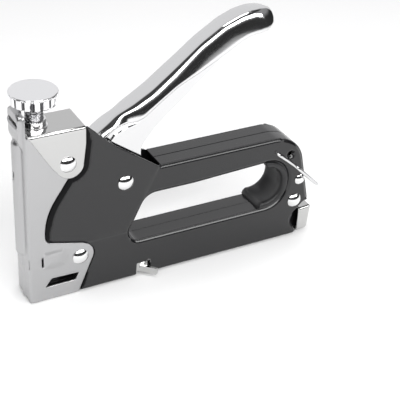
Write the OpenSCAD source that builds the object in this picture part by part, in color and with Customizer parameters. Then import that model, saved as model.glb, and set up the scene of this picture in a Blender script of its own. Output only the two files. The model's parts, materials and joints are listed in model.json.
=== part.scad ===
// Hand staple gun for fine-wire staples, drawn with the lever open.
// X runs from the nose to the rear, Y across the body, Z up from the nose face.
// The origin is the middle of the front wall's foot, where the staples come out.

/* [Body] */
// Width over the two body shells
body_w = 22; // [21.6:0.2:23]
// Sheet thickness of the body shells
shell_t = 1.4; // [1:0.1:1.6]
// Height of the straight top of the handle
handle_z = 71.3; // [68:0.5:76]
// Height of the finger window's floor
window_z = 24.8; // [24:0.2:27]
// Width over the nose plate
nose_w = 20.4; // [20:0.1:20.8]
// Sheet thickness of the nose plate and the top cover
plate_t = 1.2; // [1:0.1:1.2]
// Underside of the top cover
cover_z = 104.8; // [104.6:0.2:106]

/* [Tension knob] */
// Diameter over the knob's ribs
knob_d = 26; // [24:0.5:26.5]
// Height of the knob's rim
knob_h = 6.6; // [5:0.2:9]
// Underside of the knob as set now
knob_z = 119.8; // [119.6:0.1:121]
// Diameter of the threaded stem
stem_d = 10; // [8:0.5:10]

/* [Lever] */
// Angle of the open lever above the handle
lever_angle = 37.5; // [34:0.5:38]
// Width of the lever's grip
grip_w = 19.4; // [18:0.2:19.6]
// Distance from the pivot to the lifting tip
lift_r = 38; // [37.5:0.1:38.2]

/* [Magazine] */
// Inside width of the staple channel
channel_w = 11.9; // [11.8:0.1:12.4]
// Outside width of the rail inside the staples' legs
rail_w = 9.4; // [9:0.1:9.5]
// Height of the rail's top, under the staples' crowns
rail_z = 14.2; // [12:0.1:14.2]

/* [Hidden] */
$fn = 64;

// Small distances used all over
fit = 0.03;          // rivet or pin in its own hole
run = 0.05;          // shaft that turns in a bore
gap = 0.25;          // edge to edge between fixed sheets
free = 0.3;          // between parts that move past each other
eps = 0.5;           // overrun of a cut

half_body = body_w / 2;
half_in = half_body - shell_t;
half_nose = nose_w / 2;
half_nose_in = half_nose - plate_t;
half_cover_in = half_nose + 0.1;
half_cover = half_cover_in + plate_t;
cover_top = cover_z + plate_t;

// Rivets: [x, z] of each axis, shaft and head radii
pivot = [56.2, 65.9];
cover_rivet_at = [22.6, 85.5];
nose_rivet_at = [29.4, 23.7];
rear_rivet_at = [169.2, 25.6];
small_rivet_at = [171.6, 39.9];
shaft_r = 2.5;
pivot_r = 3;
head_r = 4.65;
head_h = 2.3;
small_shaft_r = 1.6;
small_head_r = 3.4;
small_head_h = 1.3;
spare_hole_at = [163.6, 58.6];
spare_hole_r = 1.3;

// Nose plate's side: [x, z, corner radius], anticlockwise
front_x = -plate_t / 2;
nose_path = [[front_x, 0, 0], [28.1, 0, 1.5], [40.4, 30.1, 8], [9.1, 38.4, 4.2],
    [9.1, 54.8, 38], [31, 88, 10], [31, cover_z - 0.2, 0], [front_x, cover_z - 0.2, 0]];
sight_slot = [[8.5, 8.7, 0.3], [26.2, 8.9, 0.8], [28.3, 13.3, 0.3], [12.2, 13.7, 1.5]];

// Corners of the part cut from the right shell's top edge, so that it sits lower than the left one
right_dip = [[30, 112], [30, 97.5], [34, 97.5], [47, 86.5], [60, 82.9], [70, 112]];

// Raised rib and hood on the nose's front
rib_r = 4.2;
rib_z = [32, 97];
hood_half = 8.2;
hood_x = -2.9;
hood_wall_top = 114.9;
hood_z = [101, 117.9];
slit_z = 110.1;
lip_out = 1;
lip_half = hood_half - 1.2;

// Side of the top cover's wings
wing_path = [[0.9, cover_top, 0], [12.6, 86.2, 26], [22.6, 73.4, 7.5], [31.2, 80.4, 6.5],
    [33, 96, 6], [33, cover_top, 0]];
cover_x = [0.9, 33];
knob_x = 8.8;

// Side of the body shells and of the finger window
heel_z = 23.3;
shell_path = [[5, 1.2, 0], [173, 1.2, 1], [164.6, 12.5, 7], [176.5, heel_z, 2],
    [179.6, heel_z, 1.5], [168.9, handle_z, 22], [76.4, handle_z, 2], [50, 90, 60],
    [33, cover_top, 0], [31.5, cover_z - 0.4, 0], [5, cover_z - 0.4, 0]];
window_path = [[55.7, window_z, 6.5], [163.2, window_z, 15], [163.2, 57, 15],
    [100, 54.3, 20], [69.5, 54.3, 10]];
catch_notch = [63.8, 72.8];
catch_notch_z = 8.8;
// Flanges of the shells that lie under the nose plate and carry its rivets
tongue_in = 7.85;
low_tongue = [[24, 14, 3], [42, 14, 2], [42, 34, 2], [24, 31, 4]];
high_tongue = [[17.5, 78, 4], [36, 78, 2], [36, 98, 2], [17.5, 93, 4]];

// Grip insert in the rear end of the window
insert_t = 3.6;
insert_x = 143.5;
insert_half = 10.2;

// Wire lock: a bail of round wire, [x, z] at the pivot, the kink and the cross bar
wire_r = 1;
bail_pivot = [153.3, 62.0];
bail_kink = [165.8, 51.6];
bail_end = [183.1, 34.8];
bail_near = half_body + 1.4;
bail_far = half_body + 2.9;

// Firing gear in the nose
blade_x = [0.9, 2.1];
blade_half = 5.4;
blade_rivet_y = 3.4;
blade_rivet_z = 39;
blade_rivet_r = 1.25;
blade_rivet_l = 6;
hammer_half = 6.8;
hammer_x = [2.1, 19.9];
hammer_z = [33, 46];
hammer_wall = [16, 18];
hook_h = 4;
lift_half_angle = 18;
tip_r = 2.6;
tip = [pivot[0] - lift_r * cos(lift_half_angle), pivot[1] - lift_r * sin(lift_half_angle)];
catch_top = tip[1] + tip_r + 0.34;
catch_low = tip[1] - tip_r - 0.46;
post_r = 4;
post_top = 58;
spring_wire = 1;
spring_r = 5.6;
seat_z = [96.4, 98.9];
seat_r = 6.8;
bumper_z = [28.8, 32.6];
bumper_plate_z = [27.2, 28.8];
arm_half = 3;
arm_pin_at = [4, 14];
arm_pin_r = 2;

// Lever, in its own frame: [distance along, distance off, corner radius] from the pivot
lever_t = 1.4;
neck_half = 7.5;
grip_half = grip_w / 2;
grip_path = [[26, 21.8, 3], [56, 21.2, 20], [84, 15.6, 20], [103, 13.6, 8], [111, 9.2, 3],
    [119, 7, 2], [122.3, 11, 4], [112, 25, 18], [95, 29.5, 40], [26, 29.5, 3]];
neck_path = [[-7.5, -7.5, 7], [7.5, -7.5, 7], [19, 9, 8], [45, 12.4, 20], [90, 14.6, 2],
    [90, 19, 0], [34, 25, 0], [34, 29.4, 3], [20, 31.6, 20], [6, 33, 5], [-7.5, 22, 8]];
tip_round_s = 122.3 - grip_half;

// Magazine
channel_t = 1.15;
half_channel = channel_w / 2;
channel_x = [2.7, 170];
channel_z = [1.6, rail_z + 2];
front_ear = [[24.4, 8, 0], [34.6, 8, 0], [34.6, 28.4, 3], [24.4, 28.4, 3]];
rear_ear = [[163.6, 8, 0], [170, 8, 0], [172.6, 17, 1], [172.6, 30, 3], [163.6, 30, 3]];
half_rail = rail_w / 2;
rail_t = 1;
rail_x = [2.7, 181.4];
rail_foot = 1;
rod_r = 1.5;
rod_z = 7;
cap_path = [[173.6, 1.6, 0.5], [181.2, 1.6, 3], [182.8, 18.4, 1.5], [173.6, 17.6, 0.5]];
cap_half = 10.2;
pusher_x = [4.4, 17.4];
catch_x = [64.6, 71.6];
catch_half = 8.8;
catch_t = 1.2;
lug_reach = 7.6;
bridge_z = 19.4;

// ---- Shapes shared by the parts ----

function unit(v) = v / norm(v);
function flat(p) = [p[0], p[1]];
function turned(v, a) = [v[0] * cos(a) - v[1] * sin(a), v[0] * sin(a) + v[1] * cos(a)];

// Points of one corner of a path, rounded with radius r
function corner(a, b, c, r, steps) =
    let (u = unit(b - a), v = unit(c - b), t = atan2(u[0] * v[1] - u[1] * v[0], u * v))
    r <= 0 || abs(t) < 0.5 ? [b] :
    let (start = b - u * r * tan(abs(t) / 2))
    let (mid = start + sign(t) * r * [-u[1], u[0]])
    [for (k = [0:steps]) mid + turned(start - mid, t * k / steps)];

function smooth(path, steps = 8) =
    let (n = len(path))
    [for (i = [0:n - 1]) each corner(flat(path[(i + n - 1) % n]), flat(path[i]),
        flat(path[(i + 1) % n]), path[i][2], steps)];

// The same path moved outward by d, with its corner radii kept concentric
function grown(path, d) =
    let (n = len(path))
    [for (i = [0:n - 1])
        let (u = unit(flat(path[i]) - flat(path[(i + n - 1) % n])))
        let (v = unit(flat(path[(i + 1) % n]) - flat(path[i])))
        let (nu = [u[1], -u[0]], nv = [v[1], -v[0]])
        let (q = flat(path[i]) + d * (nu + nv) / (1 + nu * nv))
        let (left = u[0] * v[1] - u[1] * v[0] > 0)
        [q[0], q[1], path[i][2] <= 0 ? 0 : max(0, path[i][2] + (left ? d : -d))]];

module outline(path) polygon(smooth(path));

// A side outline given thickness from y0 to y1
module across(y0, y1) translate([0, y1, 0]) rotate([90, 0, 0]) linear_extrude(y1 - y0) children();

// The same on both sides of the middle plane
module both_sides() {
    children();
    mirror([0, 1, 0]) children();
}

// A cylinder across the body at [x, z]
module cross_pin(at, r, y0, y1) translate([at[0], y1, at[1]]) rotate([90, 0, 0]) cylinder(h = y1 - y0, r = r);

module box(x, y, z) translate([x[0], y[0], z[0]]) cube([x[1] - x[0], y[1] - y[0], z[1] - z[0]]);

// A domed rivet head standing on the plane y, pointing to +Y
module dome(at, y, r, h) {
    ball = (r * r + h * h) / (2 * h);
    translate([at[0], y, at[1]])
        rotate([-90, 0, 0])
            intersection() {
                translate([0, 0, h - ball]) sphere(r = ball);
                cylinder(h = h + 1, r = r);
            }
}

module through_rivet(at, r, hr, hh, y) {
    cross_pin(at, r, -y, y);
    both_sides() dome(at, y, hr, hh);
}

// Rings of a mitred tube: each ring is the last one run on to the next bisecting plane
function along(ring, p, q, next) =
    let (d = unit(q - p), n = unit(d + unit(next - q)))
    [for (v = ring) v + d * (((q - v) * n) / (d * n))];
function rings(path, i, ring) =
    i >= len(path) - 1 ? [ring] :
    let (q = path[i + 1], next = i + 2 < len(path) ? path[i + 2] : 2 * q - path[i])
    concat([ring], rings(path, i + 1, along(ring, path[i], q, next)));

// Bent wire of radius r through the points of a path
module bent_wire(path, r, sides = 8) {
    d = unit(path[1] - path[0]);
    u = unit(cross(d, abs(d[2]) > 0.9 ? [1, 0, 0] : [0, 0, 1]));
    v = cross(d, u);
    first = [for (j = [0:sides - 1]) path[0] + r * (u * cos(360 * j / sides) + v * sin(360 * j / sides))];
    all_rings = rings(path, 0, first);
    n = len(path);
    pts = [for (ring = all_rings) each ring];
    walls = [for (i = [0:n - 2], j = [0:sides - 1])
        let (k = (j + 1) % sides)
        each [[i * sides + j, (i + 1) * sides + k, i * sides + k],
            [i * sides + j, (i + 1) * sides + j, (i + 1) * sides + k]]];
    ends = [[for (j = [0:sides - 1]) j], [for (j = [0:sides - 1]) n * sides - 1 - j]];
    polyhedron(pts, concat(walls, ends));
}

// A coil along +Z as one swept tube
module coil(radius, wire_radius, length, turns, per_turn = 14, sides = 6) {
    steps = turns * per_turn;
    pts = [for (i = [0:steps], j = [0:sides - 1])
        let (a = 360 * i / per_turn, b = 360 * j / sides)
        [(radius + wire_radius * cos(b)) * cos(a), (radius + wire_radius * cos(b)) * sin(a),
            wire_radius + (length - 2 * wire_radius) * i / steps + wire_radius * sin(b)]];
    walls = [for (i = [0:steps - 1], j = [0:sides - 1])
        let (k = (j + 1) % sides)
        [i * sides + j, (i + 1) * sides + j, (i + 1) * sides + k, i * sides + k]];
    ends = [[for (j = [0:sides - 1]) j], [for (j = [0:sides - 1]) steps * sides + sides - 1 - j]];
    polyhedron(pts, concat([for (w = walls) each [[w[0], w[1], w[2]], [w[0], w[2], w[3]]]], ends));
}

module in_lever_frame() translate([pivot[0], 0, pivot[1]]) rotate([0, -lever_angle, 0]) children();

// A bar between two circles, for flat links
module link(p, rp, q, rq) {
    n = turned(unit(q - p), 90);
    translate(p) circle(r = rp);
    translate(q) circle(r = rq);
    polygon([p + n * rp, p - n * rp, q - n * rq, q + n * rq]);
}

// ---- Body shells ----

module shell_side() {
    difference() {
        outline(shell_path);
        outline(grown(nose_path, gap));
        outline(window_path);
        translate([catch_notch[0], 0]) square([catch_notch[1] - catch_notch[0], catch_notch_z]);
    }
}

// Rims that close the handle's top, the rear and the window's edge
module shell_rim() {
    difference() {
        intersection() {
            shell_side();
            union() {
                translate([78, 60]) square([120, 40]);
                translate([164, heel_z - 1]) square([40, 60]);
            }
        }
        outline(grown(shell_path, -shell_t));
    }
    difference() {
        outline(grown(window_path, shell_t));
        outline(window_path);
    }
}

module shell_tongues() {
    outline(low_tongue);
    outline(high_tongue);
}

module half_shell() {
    difference() {
        union() {
            across(half_in, half_body) shell_side();
            across(run, half_in) shell_rim();
            across(tongue_in, half_nose_in - 0.1) shell_tongues();
            across(tongue_in, half_body) intersection() {
                shell_tongues();
                shell_side();
            }
        }
        for (at = [nose_rivet_at, cover_rivet_at, rear_rivet_at])
            cross_pin(at, shaft_r + fit, 0, body_w);
        across(half_cover_in - run, body_w) outline(grown(wing_path, gap));
        cross_pin(pivot, pivot_r + fit, 0, body_w);
        cross_pin(small_rivet_at, small_shaft_r + fit, 0, body_w);
        cross_pin(bail_pivot, wire_r + run, 0, body_w);
        cross_pin(spare_hole_at, spare_hole_r, half_in - eps, body_w);
    }
}

module left_shell() color([0.13, 0.13, 0.14]) mirror([0, 1, 0]) half_shell();
module right_shell() color([0.17, 0.17, 0.18]) difference() {
    half_shell();
    across(half_in - 3, body_w) polygon(right_dip);
}

// ---- Nose plate and cover ----

module rib(r, low, high) {
    translate([0, 0, low]) cylinder(h = high - low, r = r);
    translate([0, 0, low]) sphere(r = r);
    translate([0, 0, high]) sphere(r = r);
}

module hood_face(grow, low, high) {
    half = hood_half + grow;
    outline([[-half, low, 0], [half, low, 0], [half, high + grow, 5 + grow], [-half, high + grow, 5 + grow]]);
}

module hood(x0, x1, grow, low, high)
    translate([x0, 0, 0]) rotate([90, 0, 90]) linear_extrude(x1 - x0) hood_face(grow, low, high);

module nose_plate() color([0.75, 0.75, 0.76]) difference() {
    union() {
        both_sides() across(half_nose_in, half_nose) outline(nose_path);
        box([front_x, -front_x], [-half_nose, half_nose], [0, cover_z - 0.2]);
        intersection() {
            rib(rib_r, rib_z[0], rib_z[1]);
            box([-rib_r - 1, front_x + 0.1], [-half_nose, half_nose], [0, cover_z]);
        }
        hood(hood_x, -front_x, 0, hood_z[0], hood_z[1]);
        box([hood_x - lip_out, hood_x + 0.2], [-lip_half, lip_half], [slit_z - 1.6, slit_z - 0.4]);
    }
    rib(rib_r - plate_t, rib_z[0], rib_z[1]);
    hood(hood_x + plate_t, -front_x + eps, -plate_t, hood_z[0] + plate_t, hood_z[1]);
    box([hood_x + plate_t, 2], [-half_nose, half_nose], [hood_wall_top, hood_z[1] + 1]);
    box([hood_x - 2, hood_x + 2], [-hood_half + 2, hood_half - 2], [slit_z - 0.4, slit_z + 0.8]);
    both_sides() {
        across(half_nose_in - eps, half_nose + eps) outline(sight_slot);
        cross_pin(nose_rivet_at, shaft_r + fit, 0, nose_w);
        cross_pin(cover_rivet_at, shaft_r + fit, 0, nose_w);
    }
}

module top_cover() color([0.85, 0.85, 0.86]) difference() {
    union() {
        box(cover_x, [-half_cover, half_cover], [cover_z, cover_top]);
        both_sides() across(half_cover_in, half_cover) outline(wing_path);
    }
    translate([knob_x, 0, cover_z - eps]) cylinder(h = plate_t + 2 * eps, r = 6 + fit);
    cross_pin(cover_rivet_at, shaft_r + fit, -body_w, body_w);
}

module knob_bush() color([0.7, 0.7, 0.72]) translate([knob_x, 0, 0]) difference() {
    union() {
        translate([0, 0, cover_z - 0.7]) cylinder(h = 0.7, r = 6.8);
        translate([0, 0, cover_z]) cylinder(h = plate_t, r = 6);
        translate([0, 0, cover_top]) cylinder(h = 1, r = 6.9);
        translate([0, 0, cover_top + 1]) cylinder(h = 3.4, r = 6.2);
    }
    translate([0, 0, cover_z - 2]) cylinder(h = 10, r = stem_d / 2 + run);
}

// ---- Rivets ----

module cover_rivets() color([0.8, 0.8, 0.8]) both_sides() {
    cross_pin(cover_rivet_at, shaft_r, tongue_in - 0.3, half_cover);
    dome(cover_rivet_at, half_cover, head_r, head_h);
}
module pivot_rivet() color([0.8, 0.8, 0.8]) through_rivet(pivot, pivot_r, head_r, head_h, half_body);
module nose_rivet() color([0.8, 0.8, 0.8]) through_rivet(nose_rivet_at, shaft_r, head_r, head_h, half_nose);
module rear_rivet() color([0.8, 0.8, 0.8]) through_rivet(rear_rivet_at, shaft_r, head_r, head_h, half_body);
module small_rivet() color([0.8, 0.8, 0.8])
    through_rivet(small_rivet_at, small_shaft_r, small_head_r, small_head_h, half_body);

// ---- Grip insert and wire lock ----

module grip_insert() color([0.08, 0.08, 0.08])
    across(-insert_half, insert_half) intersection() {
        difference() {
            outline(grown(window_path, -run));
            outline(grown(window_path, -insert_t));
        }
        translate([insert_x, 0]) square([40, 100]);
    }

// One side of the bail's path from its pin to the cross bar, side = 1 or -1
function bail_side(side) = [
    [bail_pivot[0], side * half_body, bail_pivot[1]],
    [bail_pivot[0], side * (bail_near - 0.5), bail_pivot[1]],
    [bail_pivot[0] + 0.4, side * bail_near, bail_pivot[1] - 0.3],
    [bail_kink[0], side * bail_near, bail_kink[1]],
    [bail_kink[0] + 2.3, side * bail_far, bail_kink[1] - 2.2],
    [bail_end[0] - 0.8, side * bail_far, bail_end[1] + 0.8],
    [bail_end[0], side * (bail_far - 0.8), bail_end[1]]];

module wire_lock() color([0.8, 0.8, 0.82]) {
    left = bail_side(-1);
    bent_wire(concat(bail_side(1), [for (i = [len(left) - 1:-1:0]) left[i]]), wire_r, 12);
    both_sides() cross_pin(bail_pivot, wire_r, half_in - 1.5, half_body + 0.2);
}

// ---- Tension knob and spring ----

module tension_knob() color([0.82, 0.82, 0.84]) translate([knob_x, 0, 0]) {
    ribs = 16;
    difference() {
        translate([0, 0, knob_z]) {
            cylinder(h = knob_h - 0.8, r = knob_d / 2);
            translate([0, 0, knob_h - 0.8]) cylinder(h = 0.8, r1 = knob_d / 2, r2 = knob_d / 2 - 0.8);
        }
        for (i = [0:ribs - 1])
            rotate([0, 0, 360 * i / ribs])
                translate([knob_d / 2 + 0.7, 0, knob_z - eps])
                    cylinder(h = knob_h - 1.1 + eps, r = 1.5);
    }
    translate([0, 0, seat_z[1] + free]) cylinder(h = knob_z - seat_z[1] - free, r = stem_d / 2);
}

module spring_seat() color([0.6, 0.6, 0.62]) translate([knob_x, 0, seat_z[0]]) {
    cylinder(h = seat_z[1] - seat_z[0], r = seat_r);
    translate([0, 0, -3]) cylinder(h = 3, r = 4);
}

module main_spring() color([0.5, 0.5, 0.52]) translate([knob_x, 0, hammer_z[1] + 0.1])
    coil(spring_r, spring_wire, seat_z[0] - hammer_z[1] - 0.2, 8);

// ---- Hammer and driver blade ----

module blade_pins(x, r) {
    for (y = [-blade_rivet_y, blade_rivet_y])
        translate([x, y, blade_rivet_z]) rotate([0, 90, 0]) cylinder(h = blade_rivet_l, r = r);
}

module hammer() color([0.45, 0.45, 0.47]) difference() {
    union() {
        box(hammer_x, [-hammer_half, hammer_half], hammer_z);
        box(hammer_wall, [-hammer_half, hammer_half], [hammer_z[1], catch_top + hook_h]);
        box([hammer_wall[0], hammer_x[1]], [-hammer_half, hammer_half], [catch_top, catch_top + hook_h]);
        translate([knob_x, 0, hammer_z[1]]) cylinder(h = post_top - hammer_z[1], r = post_r);
    }
    box([hammer_wall[0] - eps, hammer_wall[1] + eps], [-arm_half - free, arm_half + free], [catch_low, catch_top]);
    blade_pins(blade_x[1] - eps, blade_rivet_r + fit);
}

module driver_blade() color([0.55, 0.55, 0.56]) difference() {
    box(blade_x, [-blade_half, blade_half], [0.4, 45]);
    blade_pins(blade_x[0] - eps, blade_rivet_r + fit);
}

module blade_rivets() color([0.7, 0.7, 0.7]) blade_pins(blade_x[0], blade_rivet_r);

module striker_bumper() color([0.1, 0.1, 0.1]) difference() {
    box([2.7, 19.5], [-half_nose_in + 0.1, half_nose_in - 0.1], bumper_z);
    box([-1, 5], [-3, 3], [bumper_z[1] - 1.2, bumper_z[1] + 1]);
}

module bumper_plate() color([0.5, 0.5, 0.52])
    box([2.7, 23.6], [-half_nose_in, half_nose_in], bumper_plate_z);

// ---- Lever ----

// Inside of the lever's grip, cut off square above the cheeks
module grip_hollow() outline(grown(grip_path, -lever_t));

module lever() color([0.8, 0.8, 0.81]) in_lever_frame() difference() {
    union() {
        difference() {
            intersection() {
                across(-grip_half, grip_half) outline(grip_path);
                union() {
                    box([0, tip_round_s], [-grip_half, grip_half], [0, 40]);
                    translate([tip_round_s, 0, 0]) cylinder(h = 40, r = grip_half);
                }
            }
            intersection() {
                across(-grip_half + lever_t, grip_half - lever_t) grip_hollow();
                union() {
                    box([0, tip_round_s], [-grip_half, grip_half], [0, 40]);
                    translate([tip_round_s, 0, 0]) cylinder(h = 40, r = grip_half - lever_t);
                }
            }
        }
        difference() {
            across(-neck_half, neck_half) outline(neck_path);
            across(-grip_half, grip_half) grip_hollow();
        }
    }
    // open the channel underneath, between the cheeks
    across(-neck_half + lever_t, neck_half - lever_t)
        difference() {
            union() {
                outline(grown(neck_path, -lever_t));
                outline([[-20, -20, 0], [118, -20, 0], [118, 3, 0], [100, 18, 0], [60, 24, 0],
                    [20, 28, 0], [-5, 21, 0], [-20, 21, 0]]);
            }
            outline([[-20, 60, 0], [-20, 40, 0], [140, 40, 0], [140, 60, 0]]);
        }
    rotate([90, 0, 0]) translate([0, 0, -20]) cylinder(h = 40, r = pivot_r + run);
    translate([arm_pin_at[0], 0, arm_pin_at[1]])
        rotate([90, 0, 0]) translate([0, 0, -20]) cylinder(h = 40, r = arm_pin_r + fit);
}

module lift_arm() color([0.4, 0.4, 0.42]) {
    pin = pivot + turned(arm_pin_at, lever_angle);
    difference() {
        across(-arm_half, arm_half) {
            link(tip, tip_r - 0.4, pivot, 6.5);
            translate(tip) circle(r = tip_r);
            link(pivot, 6.5, pin, 4);
        }
        cross_pin(pivot, pivot_r + run, -10, 10);
        cross_pin(pin, arm_pin_r + fit, -10, 10);
    }
}

module arm_pin() color([0.7, 0.7, 0.7])
    cross_pin(pivot + turned(arm_pin_at, lever_angle), arm_pin_r, -neck_half, neck_half);

module lever_spring() color([0.5, 0.5, 0.52]) {
    coil_r = 4.4;
    wire_half = 0.5;
    turns = 1.5;
    steps = 24;
    wound = [for (i = [0:steps])
        let (a = 360 * turns * i / steps)
        [pivot[0] + coil_r * cos(a), 3.8 + 1.6 * i / steps, pivot[1] + coil_r * sin(a)]];
    bent_wire(concat(wound, [[pivot[0] - coil_r - 1, 5.4, pivot[1] - 12]]), wire_half);
}

// ---- Magazine ----

// An inverted channel of outside half width h, from z0 up to z1
module channel(x, h, t, z0, z1) difference() {
    box(x, [-h, h], [z0, z1]);
    box([x[0] - eps, x[1] + eps], [-h + t, h - t], [z0 - eps, z1 - t]);
}

module magazine_channel() color([0.62, 0.62, 0.64]) {
    h = half_channel + channel_t;
    difference() {
        union() {
            channel(channel_x, h, channel_t, channel_z[0], channel_z[1] + channel_t);
            both_sides() {
                across(half_channel, h) outline(front_ear);
                across(half_channel, h) outline(rear_ear);
            }
        }
        both_sides() across(0, h + eps) outline(grown(sight_slot, 0.4));
        cross_pin(nose_rivet_at, shaft_r + fit, -h - eps, h + eps);
        cross_pin(rear_rivet_at, shaft_r + fit, -h - eps, h + eps);
    }
}

module magazine_rail() color([0.68, 0.68, 0.7]) difference() {
    union() {
        channel(rail_x, half_rail, rail_t, rail_foot, rail_z);
        box([rail_x[0], rail_x[0] + 1.2], [-half_rail, half_rail], [rail_foot, rail_z]);
    }
    box([6, 165], [-1.6, 1.6], [rail_z - 2, rail_z + 1]);
    translate([0, 0, rod_z]) rotate([0, 90, 0]) cylinder(h = 10, r = rod_r + fit);
}

module magazine_cap() color([0.78, 0.78, 0.77]) difference() {
    across(-cap_half, cap_half) outline(cap_path);
    box([170, rail_x[1]], [-cap_half + 1.2, cap_half - 1.2], [-1, 16.4]);
    translate([rail_x[1] - 1, 0, rod_z]) rotate([0, 90, 0]) cylinder(h = 10, r = rod_r + fit);
}

module guide_rod() color([0.7, 0.7, 0.72])
    translate([rail_x[0] + 0.1, 0, rod_z]) rotate([0, 90, 0])
        cylinder(h = rail_x[1] - rail_x[0] + 0.6, r = rod_r);

module pusher() color([0.55, 0.55, 0.56]) {
    saddle_half = half_channel - 0.35;
    inside = half_rail + free;
    nut_x = [pusher_x[0] + 2, pusher_x[1] - 1];
    nut_half = half_rail - rail_t - free;
    difference() {
        union() {
            difference() {
                box(pusher_x, [-saddle_half, saddle_half], [3, channel_z[1] - free]);
                box([0, 40], [-inside, inside], [0, rail_z + free]);
            }
            box(nut_x, [-1.3, 1.3], [9, rail_z + 1]);
            box(nut_x, [-nut_half, nut_half], [3.6, 11]);
        }
        translate([0, 0, rod_z]) rotate([0, 90, 0]) cylinder(h = 40, r = rod_r + run);
    }
}

module pusher_spring() color([0.5, 0.5, 0.52])
    translate([pusher_x[1] - 0.8, 0, rod_z]) rotate([0, 90, 0])
        coil(2.4, 0.4, rail_x[1] - pusher_x[1] + 0.6, 26, 10, 5);

module lug() {
    // one bent tab: a short run across, then out and back at 45 degrees
    y0 = catch_half - catch_t;
    polygon([[catch_x[0] + 1, y0], [catch_x[0] + 3, y0], [catch_x[0] + 3 + lug_reach, y0 + lug_reach],
        [catch_x[0] + 1.6 + lug_reach, y0 + lug_reach + 0.8]]);
}

module magazine_catch() color([0.8, 0.8, 0.78]) both_sides() {
    across(catch_half - catch_t, catch_half)
        outline([[catch_x[0], 1.8, 0], [catch_x[1], 1.8, 0], [catch_x[1], bridge_z + catch_t, 0],
            [catch_x[0], bridge_z + catch_t, 0]]);
    box(catch_x, [-0.01, catch_half], [bridge_z, bridge_z + catch_t]);
    translate([0, 0, 1.8]) linear_extrude(4) lug();
}

module catch_spring() color([0.5, 0.5, 0.52])
    translate([(catch_x[0] + catch_x[1]) / 2, 0, bridge_z + catch_t + 0.05])
        coil(2.6, 0.3, window_z - shell_t - bridge_z - catch_t - 0.1, 2, 12, 5);

left_shell();
right_shell();
nose_plate();
top_cover();
knob_bush();
cover_rivets();
pivot_rivet();
nose_rivet();
rear_rivet();
small_rivet();
grip_insert();
magazine_channel();
striker_bumper();
bumper_plate();
lever_spring();
main_spring();
spring_seat();
tension_knob();
hammer();
driver_blade();
blade_rivets();
lever();
lift_arm();
arm_pin();
wire_lock();
magazine_rail();
magazine_cap();
guide_rod();
pusher();
pusher_spring();
magazine_catch();
catch_spring();
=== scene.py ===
"""Visual model of a hand staple gun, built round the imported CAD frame. All sizes below are in millimetres."""
import json
import math

import bmesh
import bpy
import numpy as np
from mathutils import Matrix, Vector
from mathutils.geometry import delaunay_2d_cdt


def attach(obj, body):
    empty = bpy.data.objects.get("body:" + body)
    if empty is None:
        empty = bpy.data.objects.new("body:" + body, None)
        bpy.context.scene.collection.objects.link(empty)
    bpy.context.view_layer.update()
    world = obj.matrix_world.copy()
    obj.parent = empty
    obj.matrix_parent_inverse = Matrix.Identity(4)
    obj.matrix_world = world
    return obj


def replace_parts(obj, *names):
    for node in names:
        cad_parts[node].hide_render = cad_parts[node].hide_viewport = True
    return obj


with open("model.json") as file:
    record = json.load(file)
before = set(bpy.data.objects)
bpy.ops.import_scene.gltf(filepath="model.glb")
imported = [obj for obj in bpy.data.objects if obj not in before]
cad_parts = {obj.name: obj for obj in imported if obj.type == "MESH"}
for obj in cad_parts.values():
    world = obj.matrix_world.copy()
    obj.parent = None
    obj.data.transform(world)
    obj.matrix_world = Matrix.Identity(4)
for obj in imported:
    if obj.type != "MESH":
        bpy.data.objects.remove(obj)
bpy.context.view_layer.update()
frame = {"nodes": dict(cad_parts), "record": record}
MM = 0.001

# ---------------------------------------------------------------- sizes shared with the CAD
HALF_BODY = 11.0
HALF_IN = 9.6
HALF_NOSE = 10.2
HALF_SEAT = 10.6
HALF_COVER = 11.5
PLATE = 1.2
FRONT_X = -0.6
COVER_TOP = 106.0
HANDLE_Z = 71.3
HEEL_Z = 23.3
WINDOW_Z = 24.8
PIVOT = (56.2, 65.9)
LEVER_ANGLE = math.radians(37.5)
KNOB_X, KNOB_Z = 8.8, 119.8
HOLE_AT, HOLE_R = (163.6, 58.6), 1.3
BAIL_PIVOT, BAIL_KINK, BAIL_END = (153.3, 62.0), (165.8, 51.6), (183.1, 34.8)

# Outlines seen from the side, as (x, z, corner radius)
NOSE_PATH = [(FRONT_X, 0, 0), (28.1, 0, 1.5), (40.4, 30.1, 8), (9.1, 38.4, 4.2), (9.1, 54.8, 38),
             (31, 88, 10), (31, 104.6, 0), (FRONT_X, 104.6, 0)]
WING_PATH = [(0.9, COVER_TOP, 0), (12.6, 86.2, 26), (22.6, 73.4, 7.5), (31.2, 80.4, 6.5), (33, 96, 6),
             (33, COVER_TOP, 0)]
SHELL_PATH = [(5, 1.2, 0), (63.8, 1.2, 0.5), (64.2, 8.8, 0.5), (72.4, 8.8, 0.5), (72.8, 1.2, 0.5), (173, 1.2, 1),
              (164.6, 12.5, 7), (176.5, HEEL_Z, 2), (179.6, HEEL_Z, 1.5), (168.9, HANDLE_Z, 22),
              (76.4, HANDLE_Z, 1), (50, 90, 60), (33.25, COVER_TOP, 0), (31, 110, 0), (5, 110, 0)]
WINDOW_PATH = [(55.7, WINDOW_Z, 6.5), (163.2, WINDOW_Z, 15), (163.2, 57, 15), (100, 54.3, 20), (69.5, 54.3, 10)]
SIGHT_SLOT = [(8.5, 8.7, 0.3), (26.2, 8.9, 0.8), (28.3, 13.3, 0.3), (12.2, 13.7, 1.5)]
RIGHT_DIP = np.array([(30, 112), (30, 97.5), (34, 97.5), (47, 86.5), (60, 82.9), (70, 112)])


# ---------------------------------------------------------------- outlines
def corners(path):
    """Each corner of a closed path with its neighbours' directions: point, way in, way out, radius."""
    n = len(path)
    for i in range(n):
        a, b, c = (np.array(path[j % n][:2], float) for j in (i - 1, i, i + 1))
        yield b, (b - a) / np.linalg.norm(b - a), (c - b) / np.linalg.norm(c - b), path[i][2]


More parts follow.
